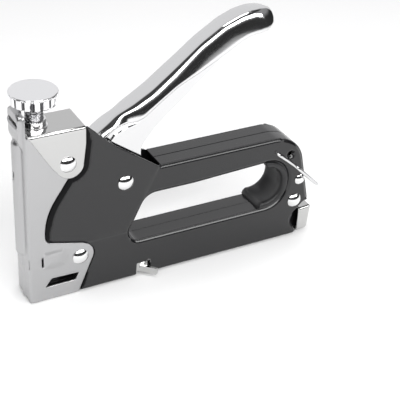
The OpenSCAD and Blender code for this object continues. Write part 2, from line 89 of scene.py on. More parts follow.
def rounded(path, step=0.6):
    """Points of a closed path of (x, z, corner radius), with arcs at its corners."""
    out = []
    for b, u, v, r in corners(path):
        turn = math.atan2(u[0] * v[1] - u[1] * v[0], u @ v)
        if r <= 0 or abs(turn) < 0.01:
            out.append(b)
            continue
        start = b - u * r * math.tan(abs(turn) / 2)
        mid = start + math.copysign(1, turn) * r * np.array([-u[1], u[0]])
        d = start - mid
        steps = max(3, int(abs(turn) * r / step))
        for k in range(steps + 1):
            ct, st = math.cos(turn * k / steps), math.sin(turn * k / steps)
            out.append(mid + np.array([d[0] * ct - d[1] * st, d[0] * st + d[1] * ct]))
    return np.array(out)


def grown(path, d):
    """The same path moved outward by d, with its arcs kept concentric."""
    out = []
    for b, u, v, r in corners(path):
        nu, nv = np.array([u[1], -u[0]]), np.array([v[1], -v[0]])
        q = b + d * (nu + nv) / (1 + nu @ nv)
        left = u[0] * v[1] - u[1] * v[0] > 0
        out.append((q[0], q[1], max(0, r + (d if left else -d)) if r > 0 else 0))
    return out


def dense(points, step):
    """A closed polyline with no edge longer than step."""
    out = []
    for p, q in zip(points, np.roll(points, -1, axis=0)):
        n = max(1, math.ceil(np.linalg.norm(q - p) / step))
        out.extend(p + (q - p) * k / n for k in range(n))
    return np.array(out)


def normals(line, closed=True):
    """Unit normals at a polyline's points."""
    t = np.roll(line, -1, axis=0) - np.roll(line, 1, axis=0)
    if not closed:
        t[0], t[-1] = line[1] - line[0], line[-1] - line[-2]
    return np.stack([-t[:, 1], t[:, 0]], axis=1) / np.linalg.norm(t, axis=1)[:, None]


def inside(points, loop):
    """Which of the points lie inside a closed polyline."""
    x, z = points[:, 0][:, None], points[:, 1][:, None]
    a, b = loop, np.roll(loop, -1, axis=0)
    cross = (a[:, 1] > z) != (b[:, 1] > z)
    slope = (b[:, 0] - a[:, 0]) / np.where(b[:, 1] == a[:, 1], 1e-12, b[:, 1] - a[:, 1])
    return (cross & (x < a[:, 0] + (z - a[:, 1]) * slope)).sum(axis=1) % 2 == 1


def within(points, loops):
    """Which of the points lie inside the first loop and outside the others."""
    ok = inside(points, loops[0])
    for hole in loops[1:]:
        ok &= ~inside(points, hole)
    return ok


def edge_distance(points, loops):
    """Distance from each point to the nearest edge of the loops, and that edge's nearest point."""
    a = np.concatenate(loops)
    b = np.concatenate([np.roll(l, -1, axis=0) for l in loops])
    best = np.full(len(points), 1e9)
    near = np.zeros((len(points), 2))
    ab = b - a
    length = np.maximum((ab ** 2).sum(axis=1), 1e-12)
    block = 2000
    for i in range(0, len(points), block):
        p = points[i:i + block][:, None, :]
        t = np.clip(((p - a) * ab).sum(axis=2) / length, 0, 1)
        q = a + ab * t[..., None]
        d = np.linalg.norm(p - q, axis=2)
        k = d.argmin(axis=1)
        rows = np.arange(len(k))
        best[i:i + block] = d[rows, k]
        near[i:i + block] = q[rows, k]
    return best, near


def drop(far, width, height):
    """How far a rounded edge falls away at a distance from it."""
    t = np.clip(1 - far / width, 0, 1)
    return height * (1 - np.sqrt(np.clip(1 - t * t, 0, 1)))


# ---------------------------------------------------------------- materials
def material(name, color, rough, metallic=0.0, grain=(400, (1, 1, 1)), bump=0.0, speck=0.0, coat=0.0, wear=0.0,
             specular=0.5):
    """A principled material with procedural variation. grain is (scale, stretch xyz) of its fine texture."""
    m = bpy.data.materials.new(name)
    m.use_nodes = True
    nodes, links = m.node_tree.nodes, m.node_tree.links
    shader = nodes["Principled BSDF"]
    shader.inputs["Metallic"].default_value = metallic
    shader.inputs["Specular IOR Level"].default_value = specular
    shader.inputs["Coat Weight"].default_value = coat
    shader.inputs["Coat Roughness"].default_value = 0.06
    place = nodes.new("ShaderNodeTexCoord")
    scale, stretch = grain
    mapping = nodes.new("ShaderNodeMapping")
    mapping.inputs["Scale"].default_value = stretch
    links.new(place.outputs["Object"], mapping.inputs["Vector"])
    fine = nodes.new("ShaderNodeTexNoise")
    fine.inputs["Scale"].default_value = scale
    fine.inputs["Detail"].default_value = 5
    links.new(mapping.outputs["Vector"], fine.inputs["Vector"])
    broad = nodes.new("ShaderNodeTexNoise")
    broad.inputs["Scale"].default_value = 28
    broad.inputs["Detail"].default_value = 6
    links.new(place.outputs["Object"], broad.inputs["Vector"])
    tone = nodes.new("ShaderNodeMixRGB")
    tone.inputs["Color1"].default_value = (*[c * (1 - speck) for c in color], 1)
    tone.inputs["Color2"].default_value = (*[min(1, c * (1 + speck)) for c in color], 1)
    links.new(broad.outputs["Fac"], tone.inputs["Fac"])
    result = tone.outputs["Color"]
    if wear:
        point = nodes.new("ShaderNodeNewGeometry")
        ramp = nodes.new("ShaderNodeValToRGB")
        ramp.color_ramp.elements[0].position = 0.53
        ramp.color_ramp.elements[1].position = 0.6
        links.new(point.outputs["Pointiness"], ramp.inputs["Fac"])
        times = nodes.new("ShaderNodeMath")
        times.operation = "MULTIPLY"
        links.new(ramp.outputs["Color"], times.inputs[0])
        times.inputs[1].default_value = wear
        worn = nodes.new("ShaderNodeMixRGB")
        links.new(times.outputs[0], worn.inputs["Fac"])
        links.new(result, worn.inputs["Color1"])
        worn.inputs["Color2"].default_value = (*[min(1, c * 2.2 + 0.05) for c in color], 1)
        result = worn.outputs["Color"]
    links.new(result, shader.inputs["Base Color"])
    spread = nodes.new("ShaderNodeMapRange")
    spread.inputs["To Min"].default_value = rough * 0.8
    spread.inputs["To Max"].default_value = rough * 1.25
    links.new(fine.outputs["Fac"], spread.inputs["Value"])
    links.new(spread.outputs["Result"], shader.inputs["Roughness"])
    if bump:
        relief = nodes.new("ShaderNodeBump")
        relief.inputs["Strength"].default_value = bump
        relief.inputs["Distance"].default_value = 0.0002
        links.new(fine.outputs["Fac"], relief.inputs["Height"])
        links.new(relief.outputs["Normal"], shader.inputs["Normal"])
    return m


EVEN = (1, 1, 1)
MATS = {
    "black_paint": material("black_enamel", (0.008, 0.008, 0.009), 0.16, 0, (1500, EVEN), 0.02, 0.06, coat=0.15,
                            wear=0.10),
    "satin_steel": material("satin_nickel", (0.46, 0.46, 0.465), 0.30, 1, (900, (1, 1, 0.06)), 0.06, 0.03),
    "bright_sheet": material("bright_sheet", (0.54, 0.54, 0.535), 0.07, 1, (900, (0.06, 1, 1)), 0.02, 0.02),
    "lever_steel": material("polished_lever", (0.70, 0.70, 0.705), 0.10, 1, (500, (0.15, 1, 1)), 0.04, 0.02),
    "knob_chrome": material("chrome", (0.84, 0.84, 0.85), 0.06, 1, (600, EVEN), 0.02, 0.02),
    "rivet_steel": material("rivet_steel", (0.80, 0.80, 0.80), 0.09, 1, (700, EVEN), 0.03, 0.03),
    "rubber": material("rubber", (0.010, 0.010, 0.011), 0.42, 0, (1800, EVEN), 0.25, 0.15),
    "tool_steel": material("tool_steel", (0.30, 0.30, 0.32), 0.32, 1, (900, (1, 1, 0.1)), 0.12, 0.08),
    "spring_steel": material("spring_steel", (0.38, 0.38, 0.40), 0.28, 1, (900, EVEN), 0.08, 0.08),
    "phosphated_steel": material("phosphated_steel", (0.10, 0.10, 0.105), 0.38, 1, (600, (0.1, 1, 1)), 0.12, 0.06),
}
for part in frame["record"]["subparts"]:
    obj = frame["nodes"][part["node"]]
    obj.data.materials.clear()
    obj.data.materials.append(MATS[part["material_slot"]])

# Painted shade: near-black paints with little shine, put on the drawn-in band beside the nose plate so that it reads
# darker than the panel.
PAINTED_SHADE = material("edge_painted_shade", (0.004, 0.004, 0.0045), 0.45, 0, (1500, EVEN), 0.02, 0.06, specular=0.12)
PAINTED_HALF_SHADE = material("edge_painted_half_shade", (0.007, 0.007, 0.0075), 0.35, 0, (1500, EVEN), 0.02, 0.06, specular=0.4)
SCREW = material("screw_steel", (0.42, 0.42, 0.43), 0.16, 1, (700, EVEN), 0.02, 0.06)
# Painted shade: a dark chrome laid on the knob's flute walls to darken them as shade would.
FLUTE_PAINTED_SHADE = material("flute_painted_shade_chrome", (0.09, 0.09, 0.095), 0.12, 1, (600, EVEN), 0.02, 0.1)


# ---------------------------------------------------------------- meshes
def make(name, verts, faces, body, slot, sharp=35, own=None):
    """A mesh object from points in millimetres, riding on a CAD body, with its slot's material or one of its own."""
    mesh = bpy.data.meshes.new(name)
    mesh.from_pydata([tuple(float(c) * MM for c in v) for v in verts], [], faces)
    return finish_mesh(mesh, name, body, slot, sharp, own)


def finish_mesh(mesh, name, body, slot, sharp, own=None):
    """Clean, smooth and link a mesh. Edges bent by more than sharp degrees stay sharp."""
    bm = bmesh.new()
    bm.from_mesh(mesh)
    bmesh.ops.remove_doubles(bm, verts=bm.verts, dist=1e-6)
    bmesh.ops.recalc_face_normals(bm, faces=bm.faces)
    for f in bm.faces:
        f.smooth = True
    for e in bm.edges:
        if len(e.link_faces) == 2 and e.calc_face_angle(0) > math.radians(sharp):
            e.smooth = False
    bm.to_mesh(mesh)
    bm.free()
    obj = bpy.data.objects.new(name, mesh)
    bpy.context.collection.objects.link(obj)
    mesh.materials.append(own or MATS[slot])
    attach(obj, body)
    return obj


def skin(rows, count, wrap=False):
    """Faces of a tube through rows of count points, capped at its ends or with its last row joined to its first."""
    faces = []
    for j in range(rows if wrap else rows - 1):
        for i in range(count):
            k, m = (i + 1) % count, (j + 1) % rows
            faces.append((j * count + i, j * count + k, m * count + k, m * count + i))
    if not wrap:
        faces += [tuple(reversed(range(count))), tuple((rows - 1) * count + i for i in range(count))]
    return faces


def lattice(loops, grid):
    """Points of a staggered grid within the loops."""
    bound = np.concatenate(loops)
    lo, hi = bound.min(axis=0), bound.max(axis=0)
    gx, gz = np.meshgrid(np.arange(lo[0] + grid / 2, hi[0], grid), np.arange(lo[1] + grid / 2, hi[1], grid))
    gx = gx + (np.arange(gx.shape[0]) % 2 * grid / 2)[:, None]
    points = np.stack([gx.ravel(), gz.ravel()], axis=1)
    return points[within(points, loops)]


def beside_edges(loops, rings):
    """Points at each of the distances in rings from the loops' edges."""
    out = []
    for d in rings:
        for loop in loops:
            for step in (d, -d):
                q = loop + normals(loop) * step
                q = q[within(q, loops)]
                out.append(q[edge_distance(q, loops)[0] > d * 0.97])
    return out


def sheet(name, loops, outer, inner, body, slot, rings, grid=3.0, marks=(), sharp=35):
    """A plate over a flat domain with holes. outer and inner map (points, edge distance, nearest edge point) to 3-D.

    rings are distances from the edges, and marks extra points, where the mesh needs points of its own.
    """
    bound = np.concatenate(loops)
    fill = lattice(loops, grid)
    fill = fill[edge_distance(fill, loops)[0] > max(rings) + grid * 0.4]
    if len(marks):
        known = np.concatenate(marks)
        gap = np.array([np.min(((known - p) ** 2).sum(axis=1)) for p in fill])
        fill = fill[gap > (grid * 0.5) ** 2]
    placed = np.concatenate(list(marks) + beside_edges(loops, rings))
    placed = placed[within(placed, loops)]
    placed = placed[edge_distance(placed, loops)[0] > 0.08]
    edges, at = [], 0
    for loop in loops:
        n = len(loop)
        edges += [(at + i, at + (i + 1) % n) for i in range(n)]
        at += n
    points = np.concatenate([bound, placed, fill])
    verts, _, tris, origin, _, _ = delaunay_2d_cdt([Vector(p) for p in points], edges, [], 0, 1e-5)
    uv = np.array([tuple(v) for v in verts])
    middles = np.array([uv[list(t)].mean(axis=0) for t in tris])
    tris = [tuple(t) for t, good in zip(tris, within(middles, loops)) if good]
    where = {old: new for new, olds in enumerate(origin) for old in olds}
    far, near = edge_distance(uv, loops)
    far[[where[i] for i in range(len(bound))]] = 0
    n = len(uv)
    faces = tris + [tuple(i + n for i in reversed(t)) for t in tris]
    faces += [(where[a], where[b], where[b] + n, where[a] + n) for a, b in edges]
    return make(name, np.concatenate([outer(uv, far, near), inner(uv, far, near)]), faces, body, slot, sharp)


def strip(name, outline, offset, y0, y1, body, slot, edge=0.3, closed=False):
    """A band of sheet along an outline, between y0 and y1, with a small bevel at the y0 end."""
    s = 1 if y1 > y0 else -1
    section = [(0, y1), (0, y0 + s * edge), (edge, y0), (offset, y0), (offset, y1)]
    verts = [((p + m * d)[0], y, (p + m * d)[1]) for p, m in zip(outline, normals(outline, closed)) for d, y in section]
    return make(name, verts, skin(len(outline), len(section), closed), body, slot)


def lathe(profile, count, wrap=False):
    """Points and faces of a turned shape about Z, profile as (radius, height)."""
    angles = [2 * math.pi * i / count for i in range(count)]
    verts = [(r * math.cos(a), r * math.sin(a), z) for r, z in profile for a in angles]
    return verts, skin(len(profile), count, wrap)


def join(objects, name):
    """One object from several on the same body."""
    bpy.ops.object.select_all(action="DESELECT")
    for o in objects:
        o.select_set(True)
    bpy.context.view_layer.objects.active = objects[0]
    bpy.ops.object.join()
    objects[0].name = name
    return objects[0]

# ---------------------------------------------------------------- body shells
EDGE_STEP = 0.7
GAP = 0.25
DRAWN_IN, DRAWN_DEPTH = 4.2, 1.5


def shell_outline():
    """The shell's visible outline: its path, less the nose plate and the cover's wing."""
    nose = dense(rounded(grown(NOSE_PATH, GAP)), EDGE_STEP)
    wing = dense(rounded(grown(WING_PATH, GAP)), EDGE_STEP)
    body = dense(rounded(SHELL_PATH), EDGE_STEP)
    body = body[~inside(body, nose) & ~inside(body, wing)]
    body = body[(body[:, 1] < COVER_TOP - 0.6) & ((body[:, 0] > 32) | (body[:, 1] < 2))]
    body = np.roll(body, -np.argmax((body[:, 1] < 1.3) & (body[:, 0] < 31)), axis=0)
    under_nose = inside(wing, nose)
    nose = nose[~inside(nose, wing) & (nose[:, 0] > 2) & (nose[:, 1] > 1.6) & (nose[:, 1] < 100)]
    wing = wing[~under_nose & (wing[:, 1] < COVER_TOP - 0.8) & (wing[:, 0] > 20)]
    return np.concatenate([body, wing[::-1], nose[::-1]])


def dipped(loop):
    """The outline with its top edge lowered behind the cover."""
    kept = loop[~inside(loop, RIGHT_DIP)]
    gap = np.argmax(np.linalg.norm(kept - np.roll(kept, 1, axis=0), axis=1))
    kept = np.roll(kept, -gap, axis=0)
    low = RIGHT_DIP[[4, 3, 2]]
    if kept[-1][0] < kept[0][0]:
        low = low[::-1]
    return dense(np.concatenate([kept, low]), EDGE_STEP)


window_loop = dense(rounded(WINDOW_PATH), EDGE_STEP)[::-1]
spare_hole = np.array([[HOLE_AT[0] + HOLE_R * math.cos(a), HOLE_AT[1] + HOLE_R * math.sin(a)]
                       for a in np.linspace(0, 2 * math.pi, 24, endpoint=False)])


def shell_edges(near):
    """Width and height of the rounding at a point of the shell's edge, and whether it is in front or a rim."""
    x, z = near[:, 0], near[:, 1]
    slope_z = np.interp(x, [33, 50, 76.4], [COVER_TOP, 90, HANDLE_Z])
    width = np.full(len(x), 0.5)
    height = np.full(len(x), 0.4)
    rim = ((x > 77) & (z > HANDLE_Z - 0.5)) | ((x > 158) & (z > HEEL_Z + 1))
    rim |= edge_distance(near, [window_loop])[0] < 0.2
    width[rim], height[rim] = 2.0, 1.7
    front = (x < 41) & (z > 1.7) & (z < slope_z - 1.2) & ~rim
    foot = np.where(z < 40, np.clip((36 - x) / 6, 0.12, 1), 1)
    share = np.interp(z, [38, 50, 96, 104], [0.55, 1, 1, 0.5]) * foot
    width[front], height[front] = DRAWN_IN * share[front], np.maximum(0.4, DRAWN_DEPTH * share[front])
    return width, height, front, rim


def edge_drop(far, near):
    """How far the panel falls away near its edge: a slanted band at the rims, a round one elsewhere."""
    w, h, _, rim = shell_edges(near)
    t = np.clip(1 - far / w, 0, 1)
    slant = h * np.where(t < 0.3, t * t / 0.6, t - 0.15) / 0.85
    return np.where(rim, slant, drop(far, w, h))


CREASE_AT, CREASE_WAY, CREASE_LOW = (76.5, HANDLE_Z), (0.89, -0.45), 32.5


def crease(uv):
    """Small step where the wide front of the shell meets the handle and the lower bar."""
    across = (uv[:, 0] - CREASE_AT[0]) * CREASE_WAY[0] + (uv[:, 1] - CREASE_AT[1]) * CREASE_WAY[1]
    past = np.maximum(across, CREASE_LOW - uv[:, 1])
    return 0.4 * np.clip(past / 1.4 + 0.5, 0, 1)


crease_marks = [np.array([[x + o * CREASE_WAY[0], z + o * CREASE_WAY[1]] for o in (-0.8, 0, 0.8)
                          for x, z in zip(np.linspace(77, 60, 40), np.linspace(70, 38, 40))]),
                np.array([[x, CREASE_LOW + o] for o in (-0.8, 0, 0.8) for x in np.arange(40, 61, 0.8)])]


def shell_face(side, inner):
    """The outside of a shell's wall, or its inside, which keeps a little thickness under the rounded edges."""
    def f(uv, far, near):
        y = HALF_BODY - edge_drop(far, near) - crease(uv)
        if inner:
            y = np.minimum(HALF_IN, y - 0.15)
        return np.stack([uv[:, 0], side * y, uv[:, 1]], axis=1)
    return f


def shade_edge(obj, loops):
    """Painted shade: flat black on the drawn-in band beside the nose plate and the cover, with a half-matt black
    further out, darkening the band as shade would.
    """
    obj.data.materials.append(PAINTED_SHADE)
    obj.data.materials.append(PAINTED_HALF_SHADE)
    middles = np.array([tuple(f.center / MM) for f in obj.data.polygons])[:, [0, 2]]
    far, near = edge_distance(middles, loops)
    wide, _, front, _ = shell_edges(near)
    # Painted shade: full black on the inner part of the band, half-matt black on its outer part.
    band = np.where(far < wide * 0.62, 1, np.where(far < wide * 0.85, 2, 0)) * (front & (wide > 1))
    for f, index in zip(obj.data.polygons, band):
        f.material_index = int(index)


def shell(side, node, outline):
    """One pressing: its panel, the folded rim round the handle and the one round the window."""
    loops = [outline, window_loop, spare_hole]
    panel = sheet(node + "_panel", loops, shell_face(side, False), shell_face(side, True), "body", "black_paint",
                  rings=(0.12, 0.35, 0.7, 1.2, 1.9, 2.8, 4.0), grid=3.5, marks=crease_marks)
    shade_edge(panel, loops)
    path = dense(rounded(SHELL_PATH), EDGE_STEP)
    x, z = path.T
    rim = path[((x > 77.5) & (z > HANDLE_Z - 0.2)) | ((x > 158) & (z > HEEL_Z + 0.2))]
    folds = side * 0.06, side * 9.35
    top = strip(node + "_rim", rim, 1.4, *folds, "body", "black_paint")
    hole = strip(node + "_window", window_loop, 1.4, *folds, "body", "black_paint", closed=True)
    return join([panel, top, hole], node + "_pressing")


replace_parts(shell(-1, "left_shell", shell_outline()), "left_shell")
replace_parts(shell(1, "right_shell", dipped(shell_outline())), "right_shell")

# ---------------------------------------------------------------- nose plate
BEND = 1.8
FLAT = HALF_NOSE - BEND
ARC = BEND * math.pi / 2
SIDE_S = FLAT + ARC - (FRONT_X + BEND)
RIB_PROFILE = ([0, 1, 2, 2.8, 3.4, 3.8, 4.1, 4.4, 4.8, 5.3], [3.55, 3.43, 3.04, 2.48, 1.85, 1.25, 0.72, 0.38, 0.12, 0])
RIB_Z = (31.5, 97)
SMALL_RIB = ([0, 1, 1.6, 2.0, 2.4], [0.9, 0.75, 0.45, 0.15, 0])
SMALL_RIB_TOP = 21
RIB_HOLE_Z = (76.4, 82.2)
PAD = (7.8, 19.8, 21.6, 31.8)
HOOD_HALF, HOOD_TOP, HOOD_ROUND = 8.3, 117.9, 4.2
HOOD_OUT, HOOD_FOOT, CROWN_TOP = 2.3, 95.5, 118.1
SLIT_LOW, SLIT_H, SLIT_HALF, LIP_HALF, LIP_OUT = 109.7, 1.7, 6.6, 7.4, 1.3
CORNER_SLOT_HALF, CORNER_SLOT_Z = 0.45, (22.6, 29.0)
NOSE_FOOT_X, NOSE_REAR_X, NOSE_WALL_TOP = 26.6, 31, 104.6


def u_point(s, height):
    """A point of the nose plate's outside, s along its U and height above it."""
    a, sign = np.abs(s), np.sign(s)
    theta = np.clip((a - FLAT) / BEND, 0, math.pi / 2)
    x = FRONT_X + BEND - BEND * np.cos(theta) + np.maximum(0, a - FLAT - ARC)
    y = np.minimum(a, FLAT) + BEND * np.sin(theta)
    return x - np.cos(theta) * height, (y + np.sin(theta) * height) * sign


def ease(t):
    t = np.clip(t, 0, 1)
    return t * t * (3 - 2 * t)


def hood_height(s, z):
    """The swelling that shields the knob's stem, with a lip pushed out under its slit."""
    qs, qz = np.abs(s) - (HOOD_HALF - HOOD_ROUND), z - (HOOD_TOP - HOOD_ROUND)
    inner = HOOD_ROUND - np.hypot(np.maximum(qs, 0), np.maximum(qz, 0))
    rise = HOOD_OUT * ease(inner / 1.3) * ease((z - HOOD_FOOT) / 7)
    bow = np.sqrt(np.clip(1 - (s / LIP_HALF) ** 2, 0, 1))
    below = np.maximum(0, SLIT_LOW - z)
    return rise + LIP_OUT * bow * np.exp(-(below / 1.8) ** 2) * (z < SLIT_LOW + 0.3)


def nose_height(uv, far):
    """Ribs, hood and side pads above the plain bent plate, with its rounded edges."""
    s, z = uv[:, 0], uv[:, 1]
    h = np.interp(np.hypot(s, np.maximum(0, np.maximum(RIB_Z[0] - z, z - RIB_Z[1]))), *RIB_PROFILE)
    h = np.maximum(h, hood_height(s, z))
    h = np.maximum(h, np.interp(np.hypot(s, np.maximum(0, z - SMALL_RIB_TOP)), *SMALL_RIB))
    x = np.abs(s) - SIDE_S
    inset = np.minimum(np.minimum(x - PAD[0], PAD[1] - x), np.minimum(z - PAD[2], PAD[3] - z))
    return h + 0.45 * np.clip(inset / 0.6, 0, 1) - drop(far, 0.45, 0.4)


def nose_outside(uv, far, near):
    x, y = u_point(uv[:, 0], nose_height(uv, far))
    return np.stack([x, y, uv[:, 1]], axis=1)


def nose_inside(uv, far, near):
    x, y = u_point(uv[:, 0], nose_height(uv, np.full(len(uv), 9.0)) - PLATE)
    return np.stack([x, y, uv[:, 1]], axis=1)


def u_side(points, sign):
    """Points of the side view, laid out on one arm of the U."""
    return np.stack([sign * (points[:, 0] + SIDE_S), points[:, 1]], axis=1)


def nose_outline():
    """The flat pattern: both arms from the side path, joined by the foot and by the hood's crown."""
    edge = dense(rounded(NOSE_PATH), EDGE_STEP)
    edge = edge[(edge[:, 0] > FRONT_X + 0.1) & (edge[:, 1] > 0.05) & (edge[:, 1] < NOSE_WALL_TOP - 0.1)]
    foot, rear = NOSE_FOOT_X + SIDE_S, NOSE_REAR_X + SIDE_S
    half_crown = [(10.6, NOSE_WALL_TOP, 0), (10.0, 109.5, 4), (8.6, 115.6, 4), (4, CROWN_TOP, 6)]
    crown = half_crown + [(-s, z, r) for s, z, r in reversed(half_crown)]
    return dense(np.concatenate([[[-foot, 0], [foot, 0]], u_side(edge, 1), [[rear, NOSE_WALL_TOP]], rounded(crown),
                                 [[-rear, NOSE_WALL_TOP]], u_side(edge[::-1], -1)]), EDGE_STEP)


def box_path(s0, s1, z0, z1, r, lean=0.0):
    """A slot's outline, narrower by lean at each end of its upper edge."""
    return rounded([(s0, z0, r), (s1, z0, r), (s1 - lean, z1, r), (s0 + lean, z1, r)], 0.25)


def nose_holes():
    """The magazine's sight slots, the hole in the rib, the hood's slit and the small slots beside the bends."""
    holes = [dense(u_side(rounded(SIGHT_SLOT), sign), 0.5) for sign in (1, -1)]
    holes.append(box_path(-1, 1, *RIB_HOLE_Z, 1))
    holes.append(box_path(-SLIT_HALF, SLIT_HALF, SLIT_LOW, SLIT_LOW + SLIT_H, 0.6, 0.4))
    for sign in (1, -1):
        for at in (8.9, SIDE_S + 7.2):
            holes.append(box_path(sign * at - CORNER_SLOT_HALF, sign * at + CORNER_SLOT_HALF, *CORNER_SLOT_Z, 0.4))
    return holes


def nose_marks():
    """Mesh points along the ribs, bends, pads and hood."""
    rib = []
    for rho in RIB_PROFILE[0]:
        rib += [[side * rho, z] for side in (1, -1) for z in np.arange(*RIB_Z, 1.6)]
        if rho:
            turns = np.linspace(0, math.pi, 12)
            rib += [[rho * math.cos(a), RIB_Z[0] - rho * math.sin(a)] for a in turns]
            rib += [[rho * math.cos(a), RIB_Z[1] + rho * math.sin(a)] for a in turns]
    rib = np.array(rib)
    rib = rib[~((np.abs(rib[:, 0]) < 1.5) & (rib[:, 1] > RIB_HOLE_Z[0] - 0.6) & (rib[:, 1] < RIB_HOLE_Z[1] + 0.6))]
    bend = [[sign * (FLAT + ARC * k / 6), z] for k in range(7) for z in np.arange(1.5, 103, 2.2) for sign in (1, -1)
            if k > 2 or not 21 < z < 31]
    small = [[sign * s, z] for s in SMALL_RIB[0] for z in np.arange(1.2, 21.5, 1.6) for sign in (1, -1)
             if s or sign > 0]
    pad = []
    for d in (0, 0.7):
        x0, x1, z0, z1 = PAD[0] + d, PAD[1] - d, PAD[2] + d, PAD[3] - d
        pad += [[x, z] for x in (x0, x1) for z in np.arange(z0, z1, 0.9)]
        pad += [[x, z] for z in (z0, z1) for x in np.arange(x0, x1, 0.9)]
    pad = [[sign * (x + SIDE_S), z] for sign in (1, -1) for x, z in pad]
    hood = [[s, z] for s in np.arange(-9.1, 9.2, 0.65) for z in np.arange(95.6, 118.4, 0.75)
            if not (abs(s) < 7 and -0.4 < z - SLIT_LOW < 2.1) and math.hypot(s, max(0, z - RIB_Z[1])) > 5.6]
    return [rib, np.array(bend), np.array(small), np.array(pad), np.array(hood)]


nose = sheet("nose_pressing", [nose_outline()] + nose_holes(), nose_outside, nose_inside, "body", "satin_steel",
             rings=(0.2, 0.5), marks=nose_marks(), sharp=50)
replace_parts(nose, "nose_plate")

# ---------------------------------------------------------------- top cover
COVER_BEND = 1.6
COVER_FLAT = HALF_COVER - COVER_BEND
COVER_ARC = COVER_BEND * math.pi / 2
COVER_X = (0.9, 33)


def cover_surface(depth, rounding):
    """The bent cover: uv is the way along X and the way round over the top."""
    def f(uv, far, near):
        a, sign = np.abs(uv[:, 1]), np.sign(uv[:, 1])
        theta = np.clip((a - COVER_FLAT) / COVER_BEND, 0, math.pi / 2)
        height = -depth - drop(far, 0.6, rounding)
        y = np.minimum(a, COVER_FLAT) + (COVER_BEND + height) * np.sin(theta)
        z = COVER_TOP - COVER_BEND + (COVER_BEND + height) * np.cos(theta) - np.maximum(0, a - COVER_FLAT - COVER_ARC)
        return np.stack([uv[:, 0], y * sign, z], axis=1)
    return f


def cover_outline():
    """The flat pattern: a wing on each side of the top."""
    wing = dense(rounded(WING_PATH), EDGE_STEP)
    wing = wing[wing[:, 1] < COVER_TOP - COVER_BEND - 0.3]
    way = COVER_FLAT + COVER_ARC + (COVER_TOP - COVER_BEND - wing[:, 1])
    side = np.stack([wing[:, 0], way], axis=1)
    corner = COVER_FLAT + COVER_ARC - 0.5
    front, rear = COVER_X
    return dense(np.concatenate([[[front + 0.5, corner]], side, [[rear, corner], [rear, -corner]], side[::-1] * (1, -1),
                                 [[front + 0.5, -corner], [front, -9.2], [front, 9.2]]]), EDGE_STEP)


fold_marks = np.array([[x, sign * (COVER_FLAT + COVER_ARC * k / 6)] for k in range(7)
                       for x in np.arange(2.2, 32.6, 1.5) for sign in (1, -1)])
cover = sheet("cover_pressing", [cover_outline()], cover_surface(0, 0.5), cover_surface(PLATE, 0), "body",
              "bright_sheet", rings=(0.15, 0.35, 0.6), grid=2.5, marks=[fold_marks], sharp=50)
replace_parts(cover, "top_cover")


# ---------------------------------------------------------------- rivets
def rivet_heads(name, at, y, radius, height):
    """Domed heads on both sides, each with a short straight foot."""
    foot = 0.35
    ball = (radius ** 2 + (height - foot) ** 2) / (2 * (height - foot))
    reach = math.asin(radius / ball)
    profile = [(radius * 0.98, 0), (radius, 0.15), (radius, foot)]
    for k in range(11, 0, -1):
        profile.append((ball * math.sin(reach * k / 12), height - ball + ball * math.cos(reach * k / 12)))
    profile.append((0.02, height))
    heads = []
    for side in (-1, 1):
        verts, faces = lathe(profile, 48)
        verts = [(at[0] + p[0], side * (y + p[2]), at[1] + p[1]) for p in verts]
        heads.append(make(name, verts, faces, "body", "rivet_steel", 40))
    return heads


def rivet_shaft(name, at, y, radius):
    verts, faces = lathe([(radius, -y), (radius, y)], 32)
    return make(name, [(at[0] + p[0], p[2], at[1] + p[1]) for p in verts], faces, "body", "rivet_steel", 40)


# Node, place, half width under the heads, head radius and height, shaft radius (0 where the CAD has none through it)
RIVETS = (("pivot_rivet", PIVOT, HALF_BODY, 4.65, 2.4, 3.0),
          ("nose_rivet", (29.4, 23.7), HALF_NOSE, 4.65, 2.3, 2.5),
          ("rear_rivet", (169.2, 25.6), HALF_SEAT, 4.65, 2.6, 2.5),
          ("small_rivet", (171.6, 39.9), HALF_SEAT, 3.4, 1.7, 1.6),
          ("cover_rivets", (22.6, 85.5), HALF_COVER, 4.65, 2.3, 0))
for node, at, y, radius, height, core in RIVETS:
    pieces = rivet_heads(node, at, y, radius, height)
    if core:
        pieces.append(rivet_shaft(node, at, y, core))
    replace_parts(join(pieces, node + "_set"), node)

# ---------------------------------------------------------------- tension knob
FLUTES = 16
# The head's section as (radius, height, depth of its flutes)
HEAD = ((0.3, 3.2, 0), (8, 3.2, 0), (8.3, 0.0, 0), (11.8, 0.0, 1.2), (12.5, 0.35, 1.35), (12.85, 1.0, 1.35),
        (13.0, 2.0, 1.35), (13.0, 3.6, 1.35), (13.0, 4.8, 1.2), (13.0, 5.7, 0.5), (12.85, 6.2, 0.1), (12.5, 6.55, 0),
        (12.0, 6.6, 0), (6, 6.6, 0), (0.3, 6.6, 0))
FLUTE_TOP = 5.4
SCREW_Z, PITCH, SCREW_R, THREAD_DEPTH = (99.2, 123.2), 1.5, 4.98, 0.75


def knob_head():
    """The fluted head, with painted shade on the walls of its grooves."""
    count = 192
    verts = []
    for r, z, depth in HEAD:
        for i in range(count):
            a = 2 * math.pi * i / count
            q = r - depth * max(0.0, math.cos(FLUTES * a)) ** 0.8
            verts.append((KNOB_X + q * math.cos(a), q * math.sin(a), KNOB_Z + z))
    head = make("knob_head", verts, skin(len(HEAD), count), "knob", "knob_chrome", 40)
    head.data.materials.append(FLUTE_PAINTED_SHADE)
    for face in head.data.polygons:
        p = face.center / MM - Vector((KNOB_X, 0, KNOB_Z))
        in_flute = math.cos(FLUTES * math.atan2(p.y, p.x)) > 0.35
        # painted shade on the side walls inside the flutes
        if abs(face.normal.z) < 0.5 and 0.5 < p.z < FLUTE_TOP and in_flute:
            face.material_index = 1
    return head


